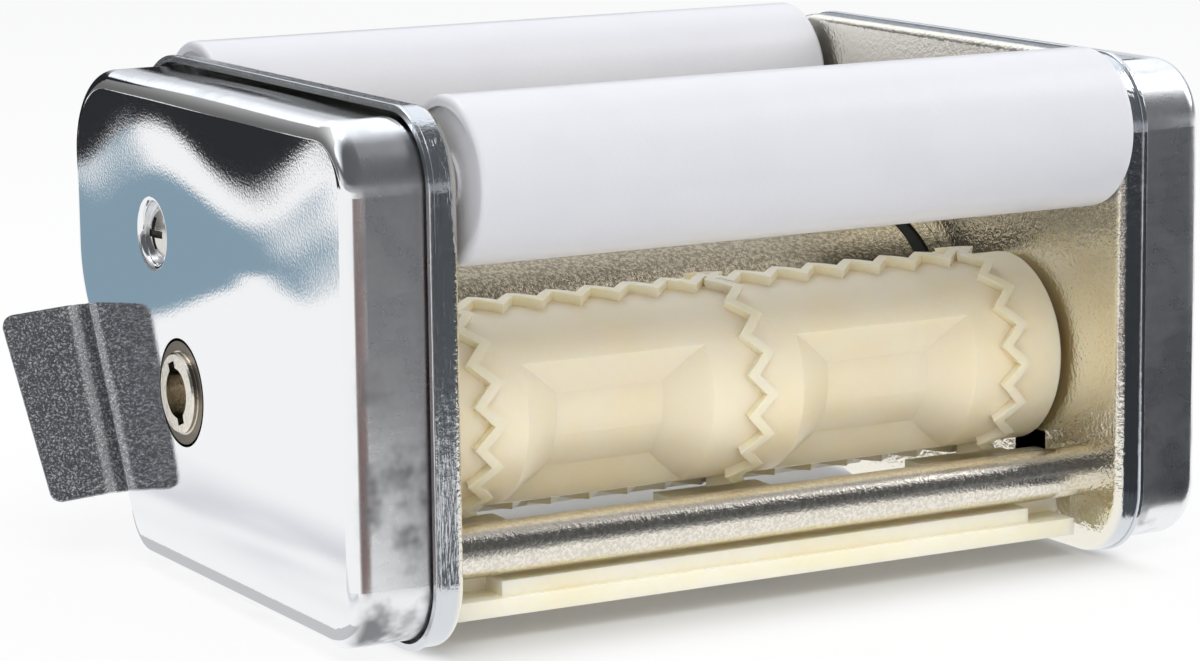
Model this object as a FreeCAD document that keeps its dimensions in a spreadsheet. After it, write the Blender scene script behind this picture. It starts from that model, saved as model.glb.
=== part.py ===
import FreeCAD, Part

import math
import os
import re

import Sketcher
from FreeCAD import Placement, Rotation, Vector

# Ravioli maker: two pressed-steel side trays with deep end covers, carrying two
# pocketed ravioli rollers geared together and two plain feed rollers above them.
# Frame: X runs along the rollers, Y from the front to the back, Z up. The origin
# is below the middle of the whole object, on the surface that it stands on.

SIZES = {
    # side trays
    "inner_width": 152.0,
    "tray_sheet": 1.0,
    "lip_width": 6.5,
    "tray_height": 106.0,
    "tray_round": 1.8,
    "bead_width": 1.2,
    "bead_rise": 0.4,
    "bead_round": 0.3,
    "corner_front": 15.5,
    "corner_back": 22.0,
    "corner_knee": 30.0,
    "corner_low": 14.0,
    "knee_height": 65.4,
    "back_slant": 27.0,
    # end covers
    "cover_depth": 22.5,
    "cover_sheet": 0.9,
    "cover_gap": 0.8,
    "cover_round": 3.8,
    "dimple_radius": 6.4,
    "dimple_depth": 1.8,
    "dimple_round": 1.3,
    "socket_window": 11.2,
    # cover screws and posts
    "screw_back": 26.8,
    "screw_height": 72.4,
    "screw_radius": 2.0,
    "screw_head": 5.0,
    "screw_head_height": 1.6,
    "cross_length": 6.6,
    "cross_width": 1.5,
    "cross_depth": 0.9,
    "screw_fit": 0.3,
    "thread_length": 9.0,
    "post_radius": 4.0,
    # feed rollers
    "feed_span": 117.5,
    "feed_drop": 14.7,
    "front_reach": 9.95,
    "back_reach": 13.55,
    "feed_radius": 16.45,
    "feed_wall": 2.2,
    "feed_end_gap": 1.5,
    "feed_edge": 1.2,
    "plug_depth": 4.0,
    "plug_recess": 0.7,
    "plug_hub": 6.0,
    "feed_axle": 3.0,
    "axle_head": 5.0,
    "axle_head_height": 1.5,
    "axle_fit": 0.06,
    # ravioli rollers
    "nip_back": -8.3,
    "roller_height": 41.3,
    "ridge_radius": 22.0,
    "ridge_rise": 1.95,
    "nip_gap": 0.3,
    "roller_end_gap": 1.5,
    "roller_edge": 0.6,
    "ring_pitch": 61.8,
    "zigzag_width": 7.0,
    "zigzag_depth": 4.3,
    "ring_teeth": 16,
    "ridge_teeth": 7,
    "ridge_lean": 8.0,
    "pocket_pitch": 63.2,
    "pocket_length": 42.0,
    "pocket_floor": 15.0,
    "pocket_floor_length": 24.2,
    "pocket_wall": 12.6,
    "pocket_lean": 18.6,
    # shafts, bushes, rings
    "shaft_radius": 5.0,
    "shaft_fit": 0.05,
    "seat_fit": 0.02,
    "bush_wall": 2.0,
    "bush_flange": 9.0,
    "bush_flange_sheet": 0.8,
    "bush_hub": 2.0,
    "side_play": 0.3,
    "ring_wall": 2.5,
    "ring_sheet": 1.0,
    "shaft_overhang": 1.5,
    # gears and drive socket
    "gear_teeth": 24,
    "gear_width": 8.0,
    "gear_backlash": 0.3,
    "pressure_angle": 20.0,
    "tooth_head": 0.92,
    "tooth_foot": 1.25,
    "tooth_root_sunk": 1.0,
    "socket_radius": 10.6,
    "socket_nose_radius": 8.35,
    "socket_nose": 1.2,
    "socket_edge": 0.4,
    "socket_bore": 5.1,
    "socket_depth": 9.0,
    "socket_notch": 3.0,
    "notch_reach": 6.5,
    "notch_turn": 70.0,
    "socket_grip": 2.0,
    # tie rods
    "tie_radius": 5.25,
    "tie_setback": 15.3,
    "tie_height": 17.6,
    "tie_spacer": 6.0,
    "stud_radius": 2.5,
    "stud_fit": 0.4,
    "stud_overhang": 5.5,
    "nut_radius": 4.6,
    "nut_height": 4.0,
    # combs that strip the rollers
    "comb_end_gap": 3.5,
    "comb_front": 11.0,
    "comb_bottom": 5.0,
    "comb_back": 24.0,
    "comb_bar_height": 3.5,
    "comb_rib_height": 3.0,
    "comb_rib_setback": 1.6,
    "comb_rib_length": 124.0,
    "finger_width": 24.5,
    "finger_gap": 0.9,
    "finger_sheet": 2.0,
    "finger_run": 4.4,
    "finger_past": 2.2,
    "finger_root": 4.4,
    "peg_width": 5.0,
    "peg_height": 3.5,
    "peg_back": 28.0,
    "peg_bottom": 16.0,
    "peg_reach": 5.5,
    "peg_root": 1.0,
    "arm_width": 6.0,
    "slot_fit": 0.3,
    "slot_back": 26.4,
    "slot_end": 37.5,
    "slot_top": 24.0,
    # dough guide over the back ravioli roller
    "guide_sheet": 1.0,
    "guide_gap": 0.65,
    "guide_low_angle": 148.0,
    "guide_high_angle": 100.0,
    "guide_run": 27.0,
    "guide_end_gap": 0.1,
    "guide_slot_low_angle": 111.0,
    "guide_slot_high_angle": 99.0,
    "guide_tab_low_angle": 109.0,
    "guide_tab_high_angle": 101.0,
    "guide_tab_reach": 2.5,
    "guide_slot_fit": 0.6,
    "slit_low_angle": 135.0,
    "slit_high_angle": 106.0,
    "slit_inset": 3.4,
    "slit_width": 4.0,
    "felt_sheet": 0.6,
    "felt_lap": 0.7,
    "felt_lap_angle": 1.5,
    # hook plates that hang the maker on a machine
    "hook_sheet": 1.2,
    "hook_foot": 14.0,
    "hook_stand": 3.0,
    "hook_reach": 14.9,
    "hook_length": 42.0,
    "hook_taper": 3.0,
    "hook_bend": 9.0,
    "hook_flare": 14.7,
    "hook_corner": 2.5,
    "hook_middle": 33.4,
    "rivet_radius": 1.6,
    "rivet_head": 3.0,
    "rivet_head_height": 1.0,
    "rivet_inset": 5.0,
    "rivet_end_inset": 8.0,
}

doc = FreeCAD.newDocument("RavioliMaker")
sheet = doc.addObject("Spreadsheet::Sheet", "Sizes")
for row, (alias, amount) in enumerate(SIZES.items(), start=1):
    sheet.set("A%d" % row, alias)
    sheet.set("B%d" % row, str(amount))
    sheet.setAlias("B%d" % row, alias)
doc.recompute()

nodes = []
SIDES = {"left": -1, "right": 1}


def size(name):
    return float(sheet.get(name))


def formula(text):
    """The same text with each size's name pointing at its cell of the sheet."""
    return re.sub(r"[a-z][a-z_]+", lambda word: "Sizes." + word.group(0)
                  if word.group(0) in SIZES else word.group(0), text)


# places that several pieces share
TRAY_FRONT = "-feed_span / 2 - front_reach"
TRAY_BACK = "feed_span / 2 + back_reach"
COVER_INSET = "(bead_rise + tray_sheet + cover_gap)"
FEED_HEIGHT = "tray_height - feed_drop"
ROLLER_SPACING = "(2 * ridge_radius + nip_gap)"
FRONT_ROLLER = "nip_back - " + ROLLER_SPACING + " / 2"
BACK_ROLLER = "nip_back + " + ROLLER_SPACING + " / 2"
FRONT_TIE = TRAY_FRONT + " + tie_setback"
MIRRORED_FRONT = "2 * nip_back + feed_span / 2 + front_reach"
BACK_TIE = MIRRORED_FRONT + " - tie_setback"
BUSH_RADIUS = "(shaft_radius + shaft_fit + bush_wall)"

inner_half = size("inner_width") / 2
tray_front = -size("feed_span") / 2 - size("front_reach")
tray_back = size("feed_span") / 2 + size("back_reach")
cover_inset = size("bead_rise") + size("tray_sheet") + size("cover_gap")
plate_face = inner_half + size("tray_sheet")
cover_face = inner_half + size("cover_depth")
hook_fold = cover_face + size("hook_stand")
roller_spacing = 2 * size("ridge_radius") + size("nip_gap")
front_roller_y = size("nip_back") - roller_spacing / 2
back_roller_y = size("nip_back") + roller_spacing / 2
gear_start = plate_face + size("bush_hub") + size("side_play")
slant = math.radians(size("back_slant"))


def place(thing, x="0", y="0", z="0"):
    for axis, where in zip("xyz", (x, y, z)):
        thing.setExpression("Placement.Base." + axis, formula(where))


def keep(thing, label):
    """Name a finished sub-part, so that it is written as a node of its own."""
    thing.Label = label
    nodes.append(thing)
    return thing


# ---- sketches and bodies

def new_body(label):
    return keep(doc.addObject("PartDesign::Body", label + "_body"), label)


def new_sketch(body, name, role="YZ_Plane", offset=None):
    sketch = body.newObject("Sketcher::SketchObject", name)
    planes = [item for item in body.Origin.OriginFeatures if item.Role == role]
    sketch.AttachmentSupport = (planes[0], [""])
    sketch.MapMode = "FlatFace"
    if offset:
        sketch.setExpression("AttachmentOffset.Base.z", formula(offset))
    return sketch


def dimension(sketch, amount, *constraint):
    number = sketch.addConstraint(Sketcher.Constraint(*constraint))
    sketch.setExpression("Constraints[%d]" % number, formula(amount))


def draw_circle(sketch, radius, y="0", z="0"):
    circle = sketch.addGeometry(Part.Circle(Vector(1, 1, 0), Vector(0, 0, 1), 1))
    dimension(sketch, radius, "Radius", circle, 1)
    if y == z == "0":
        sketch.addConstraint(Sketcher.Constraint("Coincident", circle, 3, -1, 1))
        return
    dimension(sketch, y, "DistanceX", -1, 1, circle, 3, 1)
    dimension(sketch, z, "DistanceY", -1, 1, circle, 3, 1)


def draw_box(sketch, low, high):
    """A rectangle between two corners, each a pair of formulas."""
    ends = [(0, 0), (1, 0), (1, 1), (0, 1)]
    lines = [sketch.addGeometry(Part.LineSegment(Vector(*ends[i], 0), Vector(*ends[(i + 1) % 4], 0)))
             for i in range(4)]
    for i, line in enumerate(lines):
        sketch.addConstraint(Sketcher.Constraint("Coincident", line, 2, lines[(i + 1) % 4], 1))
        sketch.addConstraint(Sketcher.Constraint(("Horizontal", "Vertical")[i % 2], line))
    dimension(sketch, low[0], "DistanceX", -1, 1, lines[0], 1, 1)
    dimension(sketch, low[1], "DistanceY", -1, 1, lines[0], 1, 1)
    dimension(sketch, high[0], "DistanceX", -1, 1, lines[2], 1, 1)
    dimension(sketch, high[1], "DistanceY", -1, 1, lines[2], 1, 1)


def rounded_corner(corners, radii, i):
    """Start, centre and end of the arc that rounds one corner of a polygon."""
    corner = Vector(*corners[i], 0)
    before = (Vector(*corners[i - 1], 0) - corner).normalize()
    after = (Vector(*corners[(i + 1) % len(corners)], 0) - corner).normalize()
    half = before.getAngle(after) / 2
    centre = corner + (before + after).normalize() * (radii[i] / math.sin(half))
    run = radii[i] / math.tan(half)
    return corner + before * run, centre, corner + after * run


def draw_side_outline(sketch, inset_formula, inset):
    """The side's outline: square at the front, slanted at the back below the knee."""
    knee_run = size("corner_knee") * math.tan(slant / 2)
    knee = size("knee_height") - knee_run
    lean = inset / math.cos(slant)
    low_y = tray_back - lean - (knee - inset) * math.tan(slant)
    back = tray_back - inset
    knee_corner = knee - inset * math.tan(slant / 2)
    front, top = tray_front + inset, size("tray_height") - inset
    corners = [(front, inset), (low_y, inset), (back, knee_corner), (back, top), (front, top)]
    names = ["corner_front", "corner_low", "corner_knee", "corner_back", "corner_front"]
    radii = [size(name) - inset for name in names]
    arcs = [rounded_corner(corners, radii, i) for i in range(5)]
    lines = [sketch.addGeometry(Part.LineSegment(arcs[i][2], arcs[(i + 1) % 5][0])) for i in range(5)]
    rounds = []
    for (start, centre, end), radius in zip(arcs, radii):
        angles = [math.atan2(point.y - centre.y, point.x - centre.x) for point in (start, end)]
        circle = Part.Circle(centre, Vector(0, 0, 1), radius)
        rounds.append(sketch.addGeometry(Part.ArcOfCircle(circle, *angles)))
    for i in range(5):
        sketch.addConstraint(Sketcher.Constraint("Tangent", lines[i - 1], 2, rounds[i], 1))
        sketch.addConstraint(Sketcher.Constraint("Tangent", rounds[i], 2, lines[i], 1))
    bottom_line, slant_line, back_line, top_line, front_line = lines
    for kind, line in (("Horizontal", bottom_line), ("Vertical", back_line),
                       ("Horizontal", top_line), ("Vertical", front_line)):
        sketch.addConstraint(Sketcher.Constraint(kind, line))
    dimension(sketch, TRAY_FRONT + " + " + inset_formula, "DistanceX", -1, 1, front_line, 1, front)
    dimension(sketch, TRAY_BACK + " - " + inset_formula, "DistanceX", -1, 1, back_line, 1, back)
    dimension(sketch, "tray_height - " + inset_formula, "DistanceY", -1, 1, top_line, 1, top)
    dimension(sketch, "tray_height - 2 * " + inset_formula, "DistanceY",
              bottom_line, 1, top_line, 1, top - inset)
    dimension(sketch, "knee_height", "DistanceY", -1, 1, back_line, 1, size("knee_height"))
    dimension(sketch, "(90 - back_slant) * 1 deg", "Angle", slant_line, math.pi / 2 - slant)
    for name, arc, radius in zip(names, rounds, radii):
        dimension(sketch, name + " - " + inset_formula, "Radius", arc, radius)


def add_pad(body, sketch, length, outward=1):
    pad = body.newObject("PartDesign::Pad", sketch.Name + "_pad")
    pad.Profile = sketch
    pad.setExpression("Length", formula(length))
    pad.Reversed = outward < 0
    doc.recompute()
    return pad


def add_pocket(body, sketch, length, outward=1):
    """Cut away a sketch's shape; outward is the way that the cut runs along X."""
    before = body.Shape.Volume
    pocket = body.newObject("PartDesign::Pocket", sketch.Name + "_pocket")
    pocket.Profile = sketch
    pocket.setExpression("Length", formula(length))
    pocket.Reversed = outward > 0
    doc.recompute()
    if body.Shape.Volume >= before - 1e-3:
        raise RuntimeError(sketch.Name + " cuts nothing from " + body.Label)
    return pocket


def faces_at(shape, x):
    return ["Face%d" % i for i, face in enumerate(shape.Faces, start=1)
            if max(abs(face.BoundBox.XMin - x), abs(face.BoundBox.XMax - x)) < 1e-6]


def edges_at(shape, x, span=None):
    """Edges that lie at one X, and, where a span is given, are that wide in Y."""
    found = []
    for i, edge in enumerate(shape.Edges, start=1):
        box = edge.BoundBox
        if max(abs(box.XMin - x), abs(box.XMax - x)) < 1e-6:
            if span is None or abs(box.YLength - span) < 1e-3:
                found.append("Edge%d" % i)
    return found


def outer_edges_at(shape, x):
    """Edges round the outside of the widest face that lies at one X."""
    faces = [shape.getElement(name) for name in faces_at(shape, x)]
    rim = max(faces, key=lambda face: face.BoundBox.DiagonalLength).OuterWire.Edges
    return ["Edge%d" % i for i, edge in enumerate(shape.Edges, start=1)
            if any(edge.isSame(other) for other in rim)]


def add_fillet(body, base, edges, radius):
    fillet = body.newObject("PartDesign::Fillet", base.Name + "_round")
    fillet.Base = (base, edges)
    fillet.setExpression("Radius", formula(radius))
    doc.recompute()
    return fillet


def add_shell(body, base, faces, thickness):
    shell = body.newObject("PartDesign::Thickness", base.Name + "_shell")
    shell.Base = (base, faces)
    shell.setExpression("Value", formula(thickness))
    shell.Reversed = True
    doc.recompute()
    return shell


def turned_body(label, steps, y, z):
    """A turned piece along X: each step is its start, length, radius and bore."""
    body = new_body(label)
    for number, (start, length, radius, bore) in enumerate(steps):
        sketch = new_sketch(body, "%s_step_%d" % (label, number), offset=start)
        draw_circle(sketch, radius)
        if bore:
            draw_circle(sketch, bore)
        add_pad(body, sketch, length)
    place(body, y=y, z=z)
    return body


# ---- groups of like pieces, made from primitives

def ring(name, start, length, radius, bore, y, z):
    """A plain ring along X, from primitives."""
    rods = []
    for part, amount in (("rim", radius), ("bore", bore)):
        rod = doc.addObject("Part::Cylinder", name + "_" + part)
        rod.setExpression("Radius", formula(amount))
        rod.setExpression("Height", formula(length))
        rod.Placement.Rotation = Rotation(Vector(0, 1, 0), 90)
        place(rod, start, y, z)
        rods.append(rod)
    cut = doc.addObject("Part::Cut", name)
    cut.Base, cut.Tool = rods
    return cut


def group(label, members):
    compound = doc.addObject("Part::Compound", label + "_group")
    compound.Links = members
    return keep(compound, label)


# ---- solids shaped by functions

def prism(points, start, end):
    """A solid between two X places from its outline's points in Y and Z."""
    corners = [Vector(start, y, z) for y, z in points]
    face = Part.Face(Part.makePolygon(corners + corners[:1]))
    return face.extrude(Vector(end - start, 0, 0))


def rod_along_x(radius, start, end, y=0, z=0):
    return Part.makeCylinder(radius, end - start, Vector(start, y, z), Vector(1, 0, 0))


def keep_shape(label, shape, place_at=None):
    feature = doc.addObject("Part::Feature", label + "_shape")
    feature.Shape = shape
    if place_at:
        feature.Placement = place_at
    return keep(feature, label)


# ---- side trays

def draw_arc_slot(sketch):
    """The curved slot that the dough guide's tab enters, round the back roller's axis."""
    inner = "ridge_radius + guide_gap - guide_slot_fit"
    outer = "ridge_radius + guide_gap + guide_sheet + guide_slot_fit"
    middle = Vector(back_roller_y, size("roller_height"), 0)
    radii = [size("ridge_radius") + size("guide_gap") - size("guide_slot_fit"),
             size("ridge_radius") + size("guide_gap") + size("guide_sheet") + size("guide_slot_fit")]
    high, low = math.radians(size("guide_slot_high_angle")), math.radians(size("guide_slot_low_angle"))
    arcs = [sketch.addGeometry(Part.ArcOfCircle(Part.Circle(middle, Vector(0, 0, 1), radius), high, low))
            for radius in radii]
    ends = []
    for angle in (high, low):
        way = Vector(math.cos(angle), math.sin(angle), 0)
        ends.append(sketch.addGeometry(Part.LineSegment(middle + way * radii[0], middle + way * radii[1])))
    for end, line in enumerate(ends, start=1):
        sketch.addConstraint(Sketcher.Constraint("Coincident", arcs[0], end, line, 1))
        sketch.addConstraint(Sketcher.Constraint("Coincident", arcs[1], end, line, 2))
    sketch.addConstraint(Sketcher.Constraint("Coincident", arcs[0], 3, arcs[1], 3))
    dimension(sketch, BACK_ROLLER, "DistanceX", -1, 1, arcs[0], 3, middle.x)
    dimension(sketch, "roller_height", "DistanceY", -1, 1, arcs[0], 3, middle.y)
    dimension(sketch, inner, "Radius", arcs[0], radii[0])
    dimension(sketch, outer, "Radius", arcs[1], radii[1])
    dimension(sketch, "guide_slot_high_angle * 1 deg", "Angle", ends[0], high)
    dimension(sketch, "guide_slot_low_angle * 1 deg", "Angle", ends[1], low)


def side_tray(side):
    way = SIDES[side]
    body = new_body(side + "_side_tray")
    outline = new_sketch(body, side + "_tray_outline")
    draw_side_outline(outline, "bead_rise", size("bead_rise"))
    pad = add_pad(body, outline, "lip_width", way)
    rolled = add_fillet(body, pad, edges_at(pad.Shape, 0), "tray_round")
    add_shell(body, rolled, faces_at(rolled.Shape, way * size("lip_width")), "tray_sheet")
    bead = new_sketch(body, side + "_lip_bead", offset="%d * (lip_width - bead_width)" % way)
    draw_side_outline(bead, "0", 0.0)
    draw_side_outline(bead, "(bead_rise + tray_sheet / 2)", size("bead_rise") + size("tray_sheet") / 2)
    beaded = add_pad(body, bead, "bead_width", way)
    rims = []
    for x in (size("lip_width"), size("lip_width") - size("bead_width")):
        rims += outer_edges_at(beaded.Shape, way * x)
    add_fillet(body, beaded, rims, "bead_round")
    holes = new_sketch(body, side + "_tray_holes")
    for y in (FRONT_ROLLER, BACK_ROLLER):
        draw_circle(holes, BUSH_RADIUS + " + seat_fit", y, "roller_height")
    for y in ("-feed_span / 2", "feed_span / 2"):
        draw_circle(holes, "feed_axle + seat_fit", y, FEED_HEIGHT)
    for y in (FRONT_TIE, BACK_TIE):
        draw_circle(holes, "stud_radius + seat_fit", y, "tie_height")
    draw_circle(holes, "screw_radius + seat_fit", "screw_back", "screw_height")
    draw_box(holes, (TRAY_FRONT + " + slot_back", "peg_bottom - slot_fit"),
             (TRAY_FRONT + " + slot_end", "slot_top"))
    draw_box(holes, (MIRRORED_FRONT + " - slot_end", "peg_bottom - slot_fit"),
             (MIRRORED_FRONT + " - slot_back", "slot_top"))
    draw_arc_slot(holes)
    add_pocket(body, holes, "tray_sheet * 2", way)
    place(body, x="%d * inner_width / 2" % way)


# ---- end covers

def end_cover(side):
    way = SIDES[side]
    body = new_body(side + "_end_cover")
    outline = new_sketch(body, side + "_cover_outline")
    draw_side_outline(outline, COVER_INSET, cover_inset)
    depth = "cover_depth - tray_sheet"
    pad = add_pad(body, outline, depth, way)
    face = way * (size("cover_depth") - size("tray_sheet"))
    rounded = add_fillet(body, pad, edges_at(pad.Shape, face), "cover_round")
    dimple = new_sketch(body, side + "_dimple", offset="%d * (%s)" % (way, depth))
    draw_circle(dimple, "dimple_radius", "screw_back", "screw_height")
    dimpled = add_pocket(body, dimple, "dimple_depth", -way)
    rim = edges_at(dimpled.Shape, face, 2 * size("dimple_radius"))
    softened = add_fillet(body, dimpled, rim, "dimple_round")
    add_shell(body, softened, faces_at(softened.Shape, 0), "cover_sheet")
    holes = new_sketch(body, side + "_cover_holes")
    draw_circle(holes, "screw_radius + screw_fit", "screw_back", "screw_height")
    if side == "left":
        draw_circle(holes, "socket_window", BACK_ROLLER, "roller_height")
    add_pocket(body, holes, "cover_depth * 2", way)
    place(body, x="%d * (inner_width / 2 + tray_sheet)" % way)


def cover_post(side):
    """Threaded post that stands on the side tray and takes the cover's screw."""
    way = SIDES[side]
    reach = "(cover_depth - tray_sheet - dimple_depth - cover_sheet)"
    start = "inner_width / 2 + tray_sheet" if way > 0 else "-inner_width / 2 - tray_sheet - " + reach
    bore = "screw_radius + seat_fit"
    turned_body(side + "_cover_post", [(start, reach, "post_radius", bore)],
                "screw_back", "screw_height")


def cover_screw(side):
    """Domed screw with a cross recess, seated in the cover's dimple."""
    way = SIDES[side]
    seat = cover_face - size("dimple_depth")
    radius, height = size("screw_head"), size("screw_head_height")
    dome = (radius ** 2 + height ** 2) / (2 * height)
    head = Part.makeSphere(dome, Vector(seat + height - dome, 0, 0))
    head = head.common(rod_along_x(radius, seat, seat + height + 1))
    shank = rod_along_x(size("screw_radius"), seat - size("thread_length"), seat)
    screw = head.fuse(shank).removeSplitter()
    floor = seat + height - size("cross_depth")
    for wide, tall in (("cross_length", "cross_width"), ("cross_width", "cross_length")):
        corner = Vector(floor, -size(wide) / 2, -size(tall) / 2)
        screw = screw.cut(Part.makeBox(height, size(wide), size(tall), corner))
    turn = Rotation(Vector(0, 0, 1), 0 if way > 0 else 180)
    spot = Vector(0, size("screw_back"), size("screw_height"))
    keep_shape(side + "_cover_screw", screw, Placement(spot, turn))


# ---- ravioli rollers

def zigzag_notches(count, pitch, reach):
    """Wedges, alternately from both edges, that leave a zigzag of constant width.

    They lie in the XY plane along X, cut the band abs(y) < zigzag_width / 2, and
    reach from Z = -reach to reach."""
    half, depth = size("zigzag_width") / 2, size("zigzag_depth")
    spare = 1.0
    widen = pitch / 2 * (depth + spare) / depth
    wedges = []
    for i in range(count):
        for edge, shift in ((1, 0.0), (-1, 0.5)):
            middle = (i + shift + 0.25) * pitch
            points = [(middle, edge * (half - depth)), (middle - widen, edge * (half + spare)),
                      (middle + widen, edge * (half + spare))]
            corners = [Vector(x, y, -reach) for x, y in points]
            face = Part.Face(Part.makePolygon(corners + corners[:1]))
            wedges.append(face.extrude(Vector(0, 0, 2 * reach)))
    return wedges


def zigzag_ring():
    """A raised zigzag band round the roller, centred on X = 0."""
    count = int(size("ring_teeth"))
    outer, inner = size("ridge_radius"), size("ridge_radius") - 3 * size("ridge_rise")
    half = size("zigzag_width") / 2
    band = rod_along_x(outer, -half, half).cut(rod_along_x(inner, -half - 1, half + 1))
    pitch = 2 * math.pi * outer / count
    notches = []
    for i, wedge in enumerate(zigzag_notches(1, pitch, size("ridge_rise") * 4)):
        for turn in range(count):
            notch = wedge.copy()
            notch.translate(Vector(-(i * 0.5 + 0.25) * pitch, 0, 0))
            notch.rotate(Vector(0, 0, 0), Vector(0, 0, 1), 90)
            notch.translate(Vector(0, 0, outer))
            notch.rotate(Vector(0, 0, 0), Vector(1, 0, 0), 360 / count * (turn + i * 0.5))
            notches.append(notch)
    return band.cut(Part.makeCompound(notches))


def zigzag_ridge():
    """A raised zigzag bar along the roller, on top of it, over all its pockets."""
    length = 2 * size("ring_pitch")
    count = 2 * int(size("ridge_teeth"))
    outer, inner = size("ridge_radius"), size("ridge_radius") - 3 * size("ridge_rise")
    half = size("zigzag_width") / 2
    band = rod_along_x(outer, -length / 2, length / 2).cut(rod_along_x(inner, -length, length))
    bar = band.common(Part.makeBox(length, 2 * half, outer, Vector(-length / 2, -half, 0)))
    notches = zigzag_notches(count, length / count, 2 * outer)
    for notch in notches:
        notch.translate(Vector(-length / 2, 0, 0))
    return bar.cut(Part.makeCompound(notches))


def pocket_tool():
    """What one pocket takes away, opening upwards, centred on X = 0.

    Its floor is round about the roller's axis, its long walls lie in one plane, and
    its ends slope."""
    half, floor = size("pocket_length") / 2, size("pocket_floor")
    core = size("ridge_radius") - size("ridge_rise")
    tool = Part.makeBox(2 * half, 2 * core, core, Vector(-half, -core, size("pocket_wall")))
    tool = tool.cut(rod_along_x(floor, -half, half))
    slope = (half - size("pocket_floor_length") / 2) / (core - floor)
    for way in (-1, 1):
        cone = Part.makeCone(core, 0, slope * core, Vector(way * half, 0, 0), Vector(-way, 0, 0))
        tool = tool.cut(cone)
    return tool


def ravioli_roller(label, axis_y, way):
    """A moulded roller; way is -1 where its pockets lean to the front, 1 to the back."""
    half = inner_half - size("roller_end_gap")
    core = rod_along_x(size("ridge_radius") - size("ridge_rise"), -half, half)
    rims = [edge for edge in core.Edges if edge.BoundBox.XLength < 1e-6]
    core = core.makeChamfer(size("roller_edge"), rims)
    quarter = 90
    tool = pocket_tool()
    cuts = []
    for along in (-0.5, 0.5):
        for turn in (quarter, -quarter):
            cut = tool.copy()
            cut.rotate(Vector(0, 0, 0), Vector(1, 0, 0), turn - way * size("pocket_lean"))
            cut.translate(Vector(along * size("pocket_pitch"), 0, 0))
            cuts.append(cut)
    core = core.cut(Part.makeCompound(cuts))
    raised = []
    for along in (-1, 0, 1):
        band = zigzag_ring()
        band.translate(Vector(along * size("ring_pitch"), 0, 0))
        raised.append(band)
    for turn in (0, 2 * quarter):
        bar = zigzag_ridge()
        bar.rotate(Vector(0, 0, 0), Vector(1, 0, 0), turn - way * size("ridge_lean"))
        raised.append(bar)
    roller = core.fuse(raised)
    roller = roller.cut(rod_along_x(size("shaft_radius") + size("seat_fit"), -half - 1, half + 1))
    keep_shape(label, roller, Placement(Vector(0, axis_y, size("roller_height")), Rotation()))


# ---- shafts, bushes and rings

def shafts_and_rings():
    gear_end = "inner_width / 2 + tray_sheet + bush_hub + side_play + gear_width"
    ring_start = "inner_width / 2 + tray_sheet + bush_hub + side_play"
    ring_bore = "shaft_radius + seat_fit"
    for label, y, overhang in (("front", FRONT_ROLLER, "ring_sheet + shaft_overhang"),
                               ("back", BACK_ROLLER, "socket_grip")):
        start = "-(%s + %s)" % (gear_end, overhang)
        right_end = ring_start + " + ring_sheet + shaft_overhang"
        turned_body(label + "_roller_shaft",
                    [(start, "%s + %s + %s" % (gear_end, overhang, right_end), "shaft_radius", None)],
                    y, "roller_height")
        turned_body(label + "_shaft_ring",
                    [(ring_start, "ring_sheet", "shaft_radius + ring_wall", ring_bore)],
                    y, "roller_height")
    turned_body("front_gear_ring",
                [("-(%s + ring_sheet)" % gear_end, "ring_sheet", "shaft_radius + ring_wall", ring_bore)],
                FRONT_ROLLER, "roller_height")


def shaft_bushes(label, y):
    """One flanged bush in each side tray; the flange is on the roller's side."""
    bushes = []
    for side, way in SIDES.items():
        hub_length = "tray_sheet + bush_hub + bush_flange_sheet"
        hub_start = "inner_width / 2 - bush_flange_sheet"
        flange_start = hub_start
        if way < 0:
            hub_start = "-inner_width / 2 - tray_sheet - bush_hub"
            flange_start = "-inner_width / 2"
        bore = "shaft_radius + shaft_fit"
        hub = ring(label + side + "_hub", hub_start, hub_length, BUSH_RADIUS, bore, y, "roller_height")
        flange = ring(label + side + "_flange", flange_start, "bush_flange_sheet", "bush_flange",
                      bore, y, "roller_height")
        bush = doc.addObject("Part::Fuse", label + side)
        bush.Base, bush.Tool = hub, flange
        bushes.append(bush)
    group(label, bushes)


# ---- gears and drive socket

def involute_gear(teeth, module, width, backlash, bore):
    """A spur gear along X with a tooth on the Y axis, centred on its bore."""
    pitch = teeth * module / 2
    pressure = math.radians(size("pressure_angle"))
    base = pitch * math.cos(pressure)
    tip, root = pitch + size("tooth_head") * module, pitch - size("tooth_foot") * module
    lean = math.tan(pressure) - pressure
    half = (math.pi * module / 2 - backlash) / 2 / pitch + lean
    flank = []
    steps = 5
    for i in range(steps + 1):
        radius = base + (tip - base) * i / steps
        roll = math.acos(min(1.0, base / radius))
        angle = half - (math.tan(roll) - roll)
        flank.append((radius, angle))
    outline = [(root - size("tooth_root_sunk"), half)] + flank
    right = [Vector(0, r * math.cos(a), r * math.sin(a)) for r, a in outline]
    left = [Vector(0, p.y, -p.z) for p in reversed(right)]
    middle = Vector(0, tip, 0)
    edges = [Part.makeLine(right[0], right[1])]
    edges.append(spline(right[1:]))
    edges.append(Part.Arc(right[-1], middle, left[0]).toShape())
    edges.append(spline(left[:-1]))
    edges.append(Part.makeLine(left[-2], left[-1]))
    edges.append(Part.makeLine(left[-1], right[0]))
    tooth = Part.Face(Part.Wire(edges)).extrude(Vector(width, 0, 0))
    ring_of_teeth = []
    for i in range(teeth):
        copy = tooth.copy()
        copy.rotate(Vector(0, 0, 0), Vector(1, 0, 0), 360 / teeth * i)
        ring_of_teeth.append(copy)
    gear = rod_along_x(root, 0, width).fuse(ring_of_teeth)
    return gear.cut(rod_along_x(bore, -1, width + 1)).removeSplitter()


def spline(points):
    curve = Part.BSplineCurve()
    curve.interpolate(points)
    return curve.toShape()


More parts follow.
